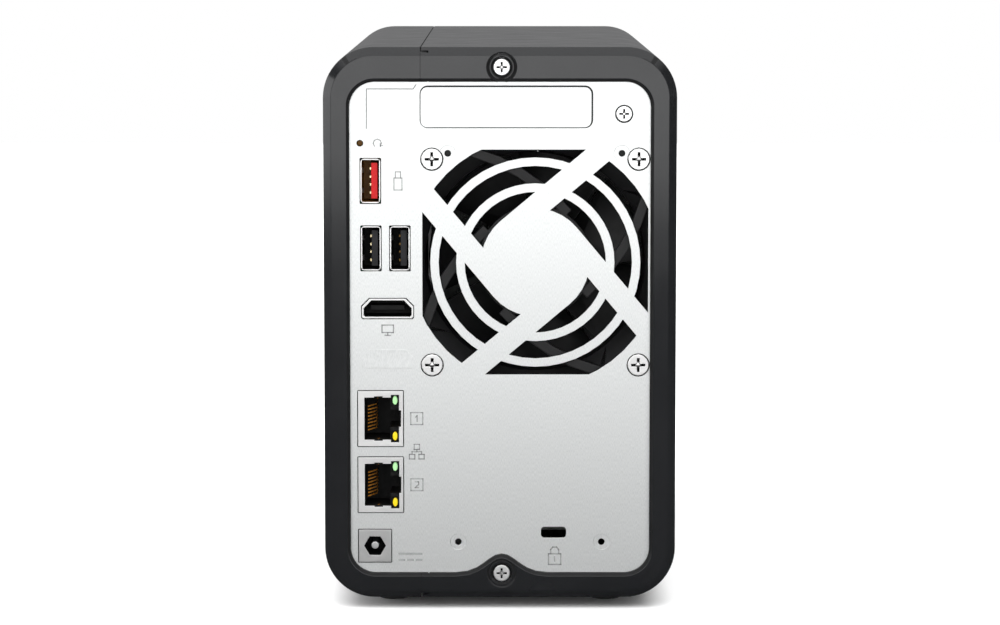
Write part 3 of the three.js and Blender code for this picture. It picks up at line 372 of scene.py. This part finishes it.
def refined(node, finish, width=0.15 * MM, segments=2, angle=SHARP_TURN, crisp=None):
    """The CAD node's own shape with rounded edges, standing for the node."""
    bm = merged_copy(node)
    if width:
        soften(bm, width, segments, angle, crisp)
    piece = mesh_piece(node + "_finished", bm, finish, body_of_node(node))
    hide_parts(node)
    return piece


def paint(piece, finish, chosen):
    """Gives a second finish to the faces that chosen(centre, normal) picks."""
    piece.data.materials.append(FINISHES[finish].material)
    last = len(piece.data.materials) - 1
    for face in piece.data.polygons:
        if chosen(face.center, face.normal):
            face.material_index = last


def paint_shade_inside(piece, finish, depth, outwards=-1):
    """Paints shade on the faces that lie deeper than depth behind a socket's mouth, in a dark finish that
    stands in for the shade inside.
    """
    ys = [v.co.y for v in piece.data.vertices]
    mouth = min(ys) if outwards < 0 else max(ys)
    paint(piece, finish, lambda centre, normal: (mouth - centre.y) * outwards > depth)


def add_block(bm, low, high, round_off=0.0, segments=2):
    """A box between two corners, with rounded edges if asked."""
    low, high = Vector(low), Vector(high)
    made = bmesh.ops.create_cube(bm, size=1.0)
    verts = made["verts"]
    bmesh.ops.scale(bm, vec=high - low, verts=verts)
    bmesh.ops.translate(bm, vec=(low + high) / 2, verts=verts)
    if round_off:
        round_edges(bm, list({e for v in verts for e in v.link_edges}), round_off, segments)


def block_piece(name, low, high, finish, body, round_off, segments):
    """A piece that is one box with rounded edges."""
    bm = bmesh.new()
    add_block(bm, low, high, round_off, segments)
    mesh_piece(name, bm, finish, body)


def add_rod(bm, centre, radius, length, axis="Y", far_radius=None):
    """A closed round bar centred on a point, along an axis."""
    turn = {"X": Matrix.Rotation(math.pi / 2, 4, "Y"), "Y": Matrix.Rotation(-math.pi / 2, 4, "X")}
    bmesh.ops.create_cone(
        bm, cap_ends=True, segments=24, radius1=radius,
        radius2=radius if far_radius is None else far_radius, depth=length,
        matrix=Matrix.Translation(centre) @ turn[axis],
    )


def add_stroke(bm, x0, z0, x1, z1, y, width):
    """A thin raised bar between two points of an XZ plane."""
    run = Vector((x1 - x0, 0, z1 - z0))
    made = bmesh.ops.create_cube(bm, size=1.0)
    turn = Matrix.Rotation(-math.atan2(run.z, run.x), 4, "Y")
    place = Matrix.Translation(((x0 + x1) / 2, y, (z0 + z1) / 2)) @ turn
    size = Matrix.Diagonal((run.length + width, STROKE_THICK, width, 1))
    bmesh.ops.transform(bm, matrix=place @ size, verts=made["verts"])


def add_ribbon(bm, points, width, thick):
    """A bent strip of metal through points of an XY plane, of a given width along Z."""
    low = Vector((0, 0, -width / 2))
    ends = [bm.verts.new(Vector(points[0]) + low), bm.verts.new(Vector(points[0]) - low)]
    edge = bm.edges.new(ends)
    faces = []
    for a, b in zip(points, points[1:]):
        made = bmesh.ops.extrude_edge_only(bm, edges=[edge])["geom"]
        moved = [g for g in made if isinstance(g, bmesh.types.BMVert)]
        faces += [g for g in made if isinstance(g, bmesh.types.BMFace)]
        bmesh.ops.translate(bm, vec=Vector(b) - Vector(a), verts=moved)
        edge = next(g for g in made if isinstance(g, bmesh.types.BMEdge) and set(g.verts) == set(moved))
    bmesh.ops.recalc_face_normals(bm, faces=faces)
    bmesh.ops.solidify(bm, geom=faces, thickness=thick)


# ---- Where things are ----


def middle(node):
    low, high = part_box(node)
    return (low + high) / 2


PANEL_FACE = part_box("rear_panel")[0].y
LAN_JACKS = ("lan_jack_1", "lan_jack_2")
PADLOCK_AT = (16.4 * MM, 15.6 * MM)

# ---- Signs: strokes as x and z of each end, in shares of the sign's size ----


def path(*points):
    """Strokes that join points in a row."""
    return [(*a, *b) for a, b in zip(points, points[1:])]


def outline(x0, z0, x1, z1):
    """The four strokes of a box between two corners."""
    return path((x0, z0), (x1, z0), (x1, z1), (x0, z1), (x0, z0))


def arc(radius, start, end, steps):
    """Strokes along an arc, in degrees from the right."""
    turns = [math.radians(start + (end - start) * i / steps) for i in range(steps + 1)]
    return path(*((radius * math.cos(t), radius * math.sin(t)) for t in turns))


def add_mark(bm, lines, x, z, size, width=0.36 * MM):
    """A sign of the given size on the rear panel."""
    for x0, z0, x1, z1 in lines:
        add_stroke(bm, x + x0 * size, z + z0 * size, x + x1 * size, z + z1 * size, PANEL_FACE, width)


ONE = path((0.03, -0.24), (0.03, 0.24)) + path((-0.1, 0.12), (0.03, 0.24))
TWO = path((-0.14, 0.24), (0.14, 0.24), (0.14, 0.02), (-0.14, -0.24), (0.14, -0.24))
DIGIT_FRAME = outline(-0.5, -0.5, 0.5, 0.5)
NETWORK = outline(-0.18, 0.15, 0.18, 0.5) + outline(-0.5, -0.5, -0.14, -0.18)
NETWORK += outline(0.14, -0.5, 0.5, -0.18)
NETWORK += [(0, 0.15, 0, 0), (-0.32, 0, 0.32, 0), (-0.32, 0, -0.32, -0.18), (0.32, 0, 0.32, -0.18)]
PADLOCK = outline(-0.34, -0.5, 0.34, 0.1)
PADLOCK += path((-0.22, 0.1), (-0.22, 0.34), (-0.1, 0.48), (0.1, 0.48), (0.22, 0.34), (0.22, 0.1))
PADLOCK += path((0, -0.3), (0, -0.08))
SCREEN = outline(-0.5, -0.24, 0.5, 0.42) + path((0, -0.24), (0, -0.48)) + path((-0.24, -0.48), (0.24, -0.48))
DIRECT_CURRENT = path((-0.5, 0.14), (0.5, 0.14)) + path((-0.5, -0.14), (-0.28, -0.14))
DIRECT_CURRENT += path((-0.11, -0.14), (0.11, -0.14)) + path((0.28, -0.14), (0.5, -0.14))
PLUG = outline(-0.22, -0.5, 0.22, 0.16) + path((-0.14, 0.16), (-0.14, 0.5), (0.14, 0.5), (0.14, 0.16))
RESTART = path((0.3, -0.3), (0.42, 0), (0.3, 0.3), (0, 0.42), (-0.3, 0.3), (-0.42, 0), (-0.3, -0.3))
RESTART += path((0.3, -0.3), (0.3, -0.02)) + path((0.3, -0.3), (0.55, -0.22))
POWER = arc(0.4, 125, 415, 16) + path((0, 0.05), (0, 0.5))
COPY = outline(-0.42, -0.42, 0.14, 0.14)
COPY += path((-0.14, 0.3), (-0.14, 0.42), (0.42, 0.42), (0.42, -0.14), (0.3, -0.14))


def panel_marks():
    """The engraved signs beside the sockets, the pinhole and the lock slot."""
    bm = bmesh.new()
    jacks = [middle(j + "_shield") for j in LAN_JACKS]
    beside = jacks[0].x + 10.8 * MM
    for jack, digit in zip(jacks, (ONE, TWO)):
        add_mark(bm, digit + DIGIT_FRAME, beside, jack.z, 3.6 * MM)
    add_mark(bm, NETWORK, beside, (jacks[0].z + jacks[1].z) / 2, 4.4 * MM)
    add_mark(bm, PADLOCK, *PADLOCK_AT, 5.4 * MM, 0.4 * MM)
    video = middle("video_port_shell")
    add_mark(bm, SCREEN, video.x, video.z - 6.4 * MM, 3.4 * MM)
    power = middle("power_jack_body")
    add_mark(bm, DIRECT_CURRENT, power.x + 10.6 * MM, power.z - 3.4 * MM, 6.6 * MM, 0.6 * MM)
    fast = middle("usb_fast_port_shell")
    add_mark(bm, PLUG, fast.x + 8.2 * MM, fast.z, 5.4 * MM, 0.3 * MM)
    reset = middle("reset_button")
    add_mark(bm, RESTART, reset.x + 5.2 * MM, reset.z, 2.9 * MM, 0.3 * MM)
    mesh_piece("panel_marks", bm, "mark")


# ---- Sockets ----

USB_CONTACTS_AT = (-3.6, -1.15, 1.15, 3.6)  # mm up the tongue
USB_SPRINGS_AT = (-3.0, 3.0)  # mm up each wide wall
USB_SPRING_SHAPE = ((0.36, 0.9), (0.8, 3.2), (0.36, 5.6))  # mm in from the wall and behind the mouth
WIRE_SHAPE = ((-3.7, 1.6), (-3.5, 1.9), (-1.3, 7.0), (-1.2, 13.5))  # mm across and behind the mouth
WIRE_PITCH = 1.02


def usb_socket(port, tongue, inside, contact="gold", outwards=-1):
    """One USB socket: shell with painted shade inside, tongue, contacts on the tongue and spring fingers."""
    shell = refined(port + "_shell", "plated", 0.05 * MM)
    # Painted shade: the shell's inside and the tongue's back take the inside finish, darker than their own
    # colours.
    paint_shade_inside(shell, inside, 0.06 * MM, outwards)
    paint_shade_inside(refined(port + "_tongue", tongue, 0.12 * MM), inside, 3.0 * MM, outwards)
    shell_low, shell_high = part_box(port + "_shell")
    mouth = shell_low.y if outwards < 0 else shell_high.y
    z = (shell_low.z + shell_high.z) / 2
    x = (shell_low.x + shell_high.x) / 2
    side = -outwards
    contacts = bmesh.new()
    face = x + side * 0.25 * MM
    for offset in USB_CONTACTS_AT:
        y0, y1 = sorted((mouth - outwards * 1.9 * MM, mouth - outwards * 9.5 * MM))
        x0, x1 = sorted((face, face - side * 0.55 * MM))
        low, high = (x0, y0, z + (offset - 0.4) * MM), (x1, y1, z + (offset + 0.4) * MM)
        add_block(contacts, low, high, 0.08 * MM, 1)
    mesh_piece(port + "_contacts", contacts, contact)
    fingers = bmesh.new()
    half = (shell_high.x - shell_low.x) / 2
    for wall in (-1, 1):
        for offset in USB_SPRINGS_AT:
            points = [
                (x + wall * (half - away * MM), mouth - outwards * deep * MM, z + offset * MM)
                for away, deep in USB_SPRING_SHAPE
            ]
            add_ribbon(fingers, points, 1.4 * MM, 0.15 * MM)
    mesh_piece(port + "_springs", fingers, "nickel")


def add_lens(bm, centre, wide, tall, deep):
    """An oval lens with a rounded rim, facing the rear."""
    made = bmesh.ops.create_cone(bm, cap_ends=True, segments=28, radius1=0.5, radius2=0.5, depth=1.0)
    turn = Matrix.Rotation(-math.pi / 2, 4, "X")
    size = Matrix.Diagonal((wide, deep, tall, 1))
    bmesh.ops.transform(bm, matrix=Matrix.Translation(centre) @ size @ turn, verts=made["verts"])
    front = min(v.co.y for v in made["verts"])
    rim = [e for e in bm.edges if all(v.co.y < front + 0.1 * deep for v in e.verts)]
    round_edges(bm, rim, 0.3 * deep, 3)


def lan_details(jack):
    """Contact wires and indicator lenses of one network jack."""
    low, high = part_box(jack + "_shield")
    x, z, mouth = (low.x + high.x) / 2, (low.z + high.z) / 2, low.y
    wires = bmesh.new()
    for i in range(8):
        at = z + (i - 3.5) * WIRE_PITCH * MM
        points = [(x + across * MM, mouth + deep * MM, at) for across, deep in WIRE_SHAPE]
        add_ribbon(wires, points, 0.34 * MM, 0.2 * MM)
    for side in (-1, 1):
        points = [(x - 0.9 * MM, mouth + 0.9 * MM), (x - 0.5 * MM, mouth + 2.2 * MM)]
        add_ribbon(wires, [(*point, z + side * 6.3 * MM) for point in points], 0.5 * MM, 0.2 * MM)
    mesh_piece(jack + "_wires", wires, "copper")
    for name, finish, side in (("link", "green_lens", 1), ("activity", "amber_lens", -1)):
        bm = bmesh.new()
        centre = (x + 4.3 * MM, mouth + 1.3 * MM, z + side * 5.4 * MM)
        add_lens(bm, centre, 1.5 * MM, 2.6 * MM, 1.2 * MM)
        mesh_piece(f"{jack}_{name}_lens", bm, finish)


def sockets():
    # Each socket's inside is painted dark as shade; the fast port's in dark brown, over its metal and the
    # back of its red tongue.
    usb_socket("usb_fast_port", "red", "brown")
    usb_socket("usb_port_1", "black", "painted_shade")
    # This port's contacts are darkened as painted shade.
    usb_socket("usb_port_2", "black", "painted_shade", "shaded_gold")
    # The video socket's inside and its whole tongue are painted dark as shade.
    paint_shade_inside(refined("video_port_shell", "plated", 0.05 * MM), "painted_shade", 0.2 * MM)
    refined("video_port_tongue", "painted_shade", 0.1 * MM)
    # Each jack's shield inside and its whole insert are painted dark as shade.
    for jack in LAN_JACKS:
        paint_shade_inside(refined(jack + "_shield", "plated", 0.05 * MM, 1), "painted_shade", 0.2 * MM)
        refined(jack + "_insert", "painted_shade", 0)
        lan_details(jack)
    # The power jack's inside is painted dark as shade.
    paint_shade_inside(refined("power_jack_body", "nickel", 0.08 * MM), "painted_shade", 0.2 * MM)
    refined("power_jack_pin", "nickel", 0.15 * MM, 2)
    refined("reset_button", "brown", 0.1 * MM)


# ---- Case, panel, screws, feet ----

# The rim's inner lip, painted darker and duller as shade: its half width, its lowest and highest points, and
# its span of depth.
LIP = {"half": 46.5 * MM, "low": 9 * MM, "high": 164.5 * MM, "from": 0.02 * MM, "to": 2.2 * MM}
SEAM_REACH = 0.6 * MM  # edges this near the shells' joint keep their crisp corners
# Spans of depth behind the panel's face: the scored card outlines and what is stamped in it.
SCORED = (0.3 * MM, 0.6 * MM)
STAMPED = (0.12 * MM, 0.2 * MM)
PIP_DEEP = 0.62 * MM  # the middle of the tip in a screw's recess, behind the head's face


def case():
    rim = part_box("case_shell_left")[0].y

    def is_shaded_lip(centre, normal):
        inside_rim = abs(centre.x) < LIP["half"] and LIP["low"] < centre.z < LIP["high"]
        return inside_rim and LIP["from"] < centre.y - rim < LIP["to"]

    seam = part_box("case_shell_right")[0].x

    def by_seam(point):
        return abs(point.x - seam) < SEAM_REACH

    for shell in ("case_shell_left", "case_shell_right"):
        # The rim's inner lip is painted dark as shade.
        paint(refined(shell, "case", 0.18 * MM, 2, 20, by_seam), "lip_shade", is_shaded_lip)
    for foot in ("foot_rear_left", "foot_rear_right", "foot_front_left", "foot_front_right"):
        refined(foot, "rubber", 0.25 * MM, 3)


def rear():
    """The panel, its screws with a small tip in each recess, and the panel's signs, with painted shade in the
    panel's holes, scored grooves and screw recesses.
    """

    def is_scored(centre, normal):
        return SCORED[0] < centre.y - PANEL_FACE < SCORED[1] and normal.y < -0.9

    def is_stamped(centre, normal):
        return STAMPED[0] < centre.y - PANEL_FACE < STAMPED[1]

    # Painted shade: the walls of the panel's holes are painted dark.
    def is_shaded_hole_wall(centre, normal):
        return centre.y - PANEL_FACE > STAMPED[1] and abs(normal.y) < 0.3

    panel = refined("rear_panel", "brushed", 0.04 * MM, 1)
    # Painted shade: the floors of the scored outlines are painted dark.
    paint(panel, "groove", is_scored)
    paint(panel, "mark", is_stamped)
    paint(panel, "painted_shade", is_shaded_hole_wall)
    screws = ["case_screw_top", "case_screw_bottom", "panel_screw"] + [f"fan_screw_{i}" for i in (1, 2, 3, 4)]
    pips = bmesh.new()
    for screw in screws:
        # Each screw's recess is painted dark as shade.
        paint_shade_inside(refined(screw, "screw", 0.06 * MM), "painted_shade", 0.2 * MM)
        low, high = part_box(screw)
        radius = 0.15 * (high.x - low.x)
        centre = ((low.x + high.x) / 2, low.y + PIP_DEEP, (low.z + high.z) / 2)
        add_rod(pips, centre, 0.45 * radius, 0.5 * MM, far_radius=radius)
    mesh_piece("screw_recess_pips", pips, "screw", sharp=50)
    panel_marks()


def fan():
    refined("fan_frame", "fan", 0.3 * MM, 2, 40)
    refined("fan_rotor", "fan", 0.2 * MM, 2, 40)


# ---- Inside and front ----

LAMP_ROW = 4.6 * MM  # the height of a bay's number and lamps over the bezel's foot
FRONT_LINE = 0.5 * MM
FASCIA_LAMPS = (("network", "green_lens"), ("socket", "green_lens"), ("status", "amber_lens"))
FASCIA_LAMP_TOP, FASCIA_LAMP_STEP = 106 * MM, 6 * MM
LID_FACE, LABEL_FACE = 0.15 * MM, 0.22 * MM  # how far each stands off the drive
BOARD_THICK = 1.6 * MM
CHIPS = ((-2, 128, 12, 12), (22, 46, 9, 9), (-30, 40, 7, 10), (38, 128, 8, 8))  # y, z, width and height, mm
CAPACITOR = {"first": -54, "step": 9, "z": 118, "count": 5}  # mm


def inside():
    for node in ("cage_side_left", "cage_side_right", "cage_top", "cage_bottom", "board_bracket"):
        refined(node, "sheet", 0.08 * MM, 1)
    for node in ("main_board", "memory_module", "front_board"):
        refined(node, "board", 0.06 * MM, 1)
    refined("backplane_board", "dark_board", 0.06 * MM, 1)
    refined("heat_sink", "aluminium", 0.15 * MM)
    refined("fan_lead", "black", 0)
    for n in (1, 2):
        refined(f"tray_{n}_frame", "tray", 0.25 * MM)
        refined(f"drive_{n}", "casting", 0.8 * MM, 3)
        drive_details(n)
    board_details()


def add_front_mark(bm, lines, x, z, y, size):
    """Strokes that read the right way round for someone who faces the trays."""
    for x0, z0, x1, z1 in lines:
        add_stroke(bm, x - x0 * size, z + z0 * size, x - x1 * size, z + z1 * size, y, FRONT_LINE)


def button_mark(node, lines, body, size):
    bm = bmesh.new()
    centre = middle(node)
    add_front_mark(bm, lines, centre.x, centre.z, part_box(node)[1].y, size)
    mesh_piece(node + "_mark", bm, "print", body)


def bezel_details(n, digit):
    """The bay's number and its two round lamps, at the foot of the bezel."""
    low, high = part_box(f"tray_{n}_bezel")
    x = (low.x + high.x) / 2
    number = bmesh.new()
    add_front_mark(number, digit, x, low.z + LAMP_ROW, high.y, 6.4 * MM)
    mesh_piece(f"tray_{n}_number", number, "print", f"tray_{n}")
    for name, side in (("ready", 1), ("busy", -1)):
        bm = bmesh.new()
        add_rod(bm, (x + side * 8 * MM, high.y, low.z + LAMP_ROW), 0.9 * MM, 0.3 * MM)
        mesh_piece(f"tray_{n}_{name}_lamp", bm, "green_lens", f"tray_{n}")


def fascia_details():
    """Three small lamps in a column over the front socket."""
    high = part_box("front_fascia")[1]
    bar = middle("status_light_bar")
    for i, (name, finish) in enumerate(FASCIA_LAMPS):
        bm = bmesh.new()
        add_rod(bm, (bar.x, high.y, FASCIA_LAMP_TOP - i * FASCIA_LAMP_STEP), 1.0 * MM, 0.4 * MM)
        mesh_piece(f"{name}_lamp", bm, finish)


def drive_details(n):
    """The lid, label and screws on one face of a drive, and the board on the other."""
    body = f"tray_{n}"
    low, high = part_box(f"drive_{n}")
    y, z = (low.y + high.y) / 2, (low.z + high.z) / 2
    block_piece(
        f"drive_{n}_lid", (high.x, low.y + 6 * MM, low.z + 5 * MM),
        (high.x + LID_FACE, high.y - 6 * MM, high.z - 5 * MM),
        "aluminium", body, 0.07 * MM, 2,
    )
    block_piece(
        f"drive_{n}_label", (high.x + LID_FACE, y - 45 * MM, z - 34 * MM),
        (high.x + LABEL_FACE, y + 40 * MM, z + 34 * MM),
        "label", body, 0.02 * MM, 1,
    )
    ink = bmesh.new()
    for row in range(7):
        at = z + (24 - 8 * row) * MM
        reach = (70 if row % 3 else 44) * MM
        x0 = high.x + 0.2 * MM
        add_block(ink, (x0, y - 38 * MM, at), (x0 + 0.05 * MM, y - 38 * MM + reach, at + 0.7 * MM))
    mesh_piece(f"drive_{n}_label_lines", ink, "mark", body)
    screws = bmesh.new()
    for side in (-1, 1):
        for end in (-1, 0, 1):
            centre = (high.x + LID_FACE, y + end * 64 * MM, z + side * 42 * MM)
            add_rod(screws, centre, 2.4 * MM, 0.3 * MM, "X")
    mesh_piece(f"drive_{n}_lid_screws", screws, "screw", body)
    block_piece(
        f"drive_{n}_board", (low.x - 0.15 * MM, low.y + 4 * MM, low.z + 8 * MM),
        (low.x, low.y + 62 * MM, high.z - 8 * MM), "board", body, 0.05 * MM, 1,
    )


def board_details():
    """Chips and capacitors on the main board's inner face."""
    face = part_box("main_board")[0].x + BOARD_THICK
    chips = bmesh.new()
    for y, z, wide, tall in CHIPS:
        half = (wide * MM / 2, tall * MM / 2)
        add_block(
            chips, (face - 0.2 * MM, y * MM - half[0], z * MM - half[1]),
            (face + 1.1 * MM, y * MM + half[0], z * MM + half[1]), 0.12 * MM,
        )
    mesh_piece("board_chips", chips, "black")
    cans = bmesh.new()
    for i in range(CAPACITOR["count"]):
        y = (CAPACITOR["first"] + CAPACITOR["step"] * i) * MM
        add_rod(cans, (face + 1.8 * MM, y, CAPACITOR["z"] * MM), 2.6 * MM, 4 * MM, "X")
    mesh_piece("board_capacitors", cans, "aluminium")


def front():
    refined("front_fascia", "satin", 0.2 * MM)
    for n in (1, 2):
        refined(f"tray_{n}_bezel", "satin", 0.25 * MM, 3)
        refined(f"tray_{n}_lever", "satin", 0.3 * MM, 3)
        refined(f"tray_{n}_release", "satin", 0.4 * MM, 3)
    refined("power_button", "satin", 0.35 * MM, 3)
    refined("copy_button", "satin", 0.35 * MM, 3)
    button_mark("power_button", POWER, "power", 6.4 * MM)
    button_mark("copy_button", COPY, "copy", 5.0 * MM)
    for n, digit in ((1, ONE), (2, TWO)):
        bezel_details(n, digit)
    fascia_details()
    refined("status_light_bar", "clear_lens", 0.2 * MM)
    # The front port's inside is painted dark as shade.
    usb_socket("usb_front_port", "red", "painted_shade", outwards=1)


# ---- Stage ----


def camera():
    data = bpy.data.cameras.new("camera")
    data.lens = CAMERA_LENS
    data.sensor_width = SENSOR_WIDE
    data.clip_end = 100
    cam = bpy.data.objects.new("camera", data)
    cam.location = CAMERA_AT
    cam.rotation_euler = (math.radians(90 - CAMERA_DOWN), 0, 0)
    bpy.context.scene.collection.objects.link(cam)
    bpy.context.scene.camera = cam


def floor():
    mesh = bpy.data.meshes.new("floor")
    bm = bmesh.new()
    bmesh.ops.create_grid(bm, x_segments=1, y_segments=1, size=FLOOR_HALF)
    bm.to_mesh(mesh)
    bm.free()
    obj = bpy.data.objects.new("floor", mesh)
    obj.visible_glossy = False
    pale = Finish("floor", (0.97, 0.97, 0.97), 0.9)
    pale.tint(pale.noise(0.5), (0.96, 0.96, 0.96), (0.98, 0.98, 0.98))
    mesh.materials.append(pale.material)
    bpy.context.scene.collection.objects.link(obj)


def softbox(name, centre, size, radiance, towards):
    """A lit rectangle that faces a point, as bright as its radiance whatever its size."""
    data = bpy.data.lights.new(name, "AREA")
    data.shape = "RECTANGLE"
    data.size, data.size_y = size
    data.energy = radiance * math.pi * size[0] * size[1]
    light = bpy.data.objects.new(name, data)
    light.location = centre
    light.rotation_euler = (Vector(towards) - Vector(centre)).to_track_quat("-Z", "Y").to_euler()
    light.visible_camera = False
    bpy.context.scene.collection.objects.link(light)
    return light


def lighting():
    for low, high, radiance in KEY_PARTS:
        centre = (KEY["x"], KEY["y"], (low + high) / 2)
        softbox(f"key_{low}", centre, (KEY["wide"], high - low), radiance, (centre[0], 0, centre[2]))
    softbox(*OVERHEAD).visible_glossy = False
    for box in SIDE_BOXES:
        softbox(*box)


def room():
    """A room that is brighter overhead for the lighting, and white where the camera sees it."""
    world = bpy.data.worlds.new("studio")
    world.use_nodes = True
    bpy.context.scene.world = world
    nodes, links = world.node_tree.nodes, world.node_tree.links
    background = nodes["Background"]
    direction = nodes.new("ShaderNodeTexCoord")
    split = nodes.new("ShaderNodeSeparateXYZ")
    ramp = nodes.new("ShaderNodeValToRGB")
    stops = ramp.color_ramp.elements
    for stop, (position, grey) in zip(stops, (SKY_LOW, SKY_HIGH)):
        stop.position = position
        stop.color = (grey, grey, grey, 1)
    for position, grey in SKY_BETWEEN:
        stops.new(position).color = (grey, grey, SKY_BLUE * grey, 1)
    half = nodes.new("ShaderNodeMapRange")
    half.inputs["From Min"].default_value = -1
    path = nodes.new("ShaderNodeLightPath")
    seen = nodes.new("ShaderNodeMix")
    seen.data_type = "RGBA"
    seen.inputs["B"].default_value = (1, 1, 1, 1)
    links.new(direction.outputs["Generated"], split.inputs["Vector"])
    links.new(split.outputs["Z"], half.inputs["Value"])
    links.new(half.outputs["Result"], ramp.inputs["Fac"])
    links.new(path.outputs["Is Camera Ray"], seen.inputs["Factor"])
    links.new(ramp.outputs["Color"], seen.inputs["A"])
    links.new(seen.outputs["Result"], background.inputs["Color"])
    bpy.context.scene.view_settings.view_transform = "Standard"


camera()
case()
rear()
fan()
sockets()
inside()
front()
floor()
lighting()
room()
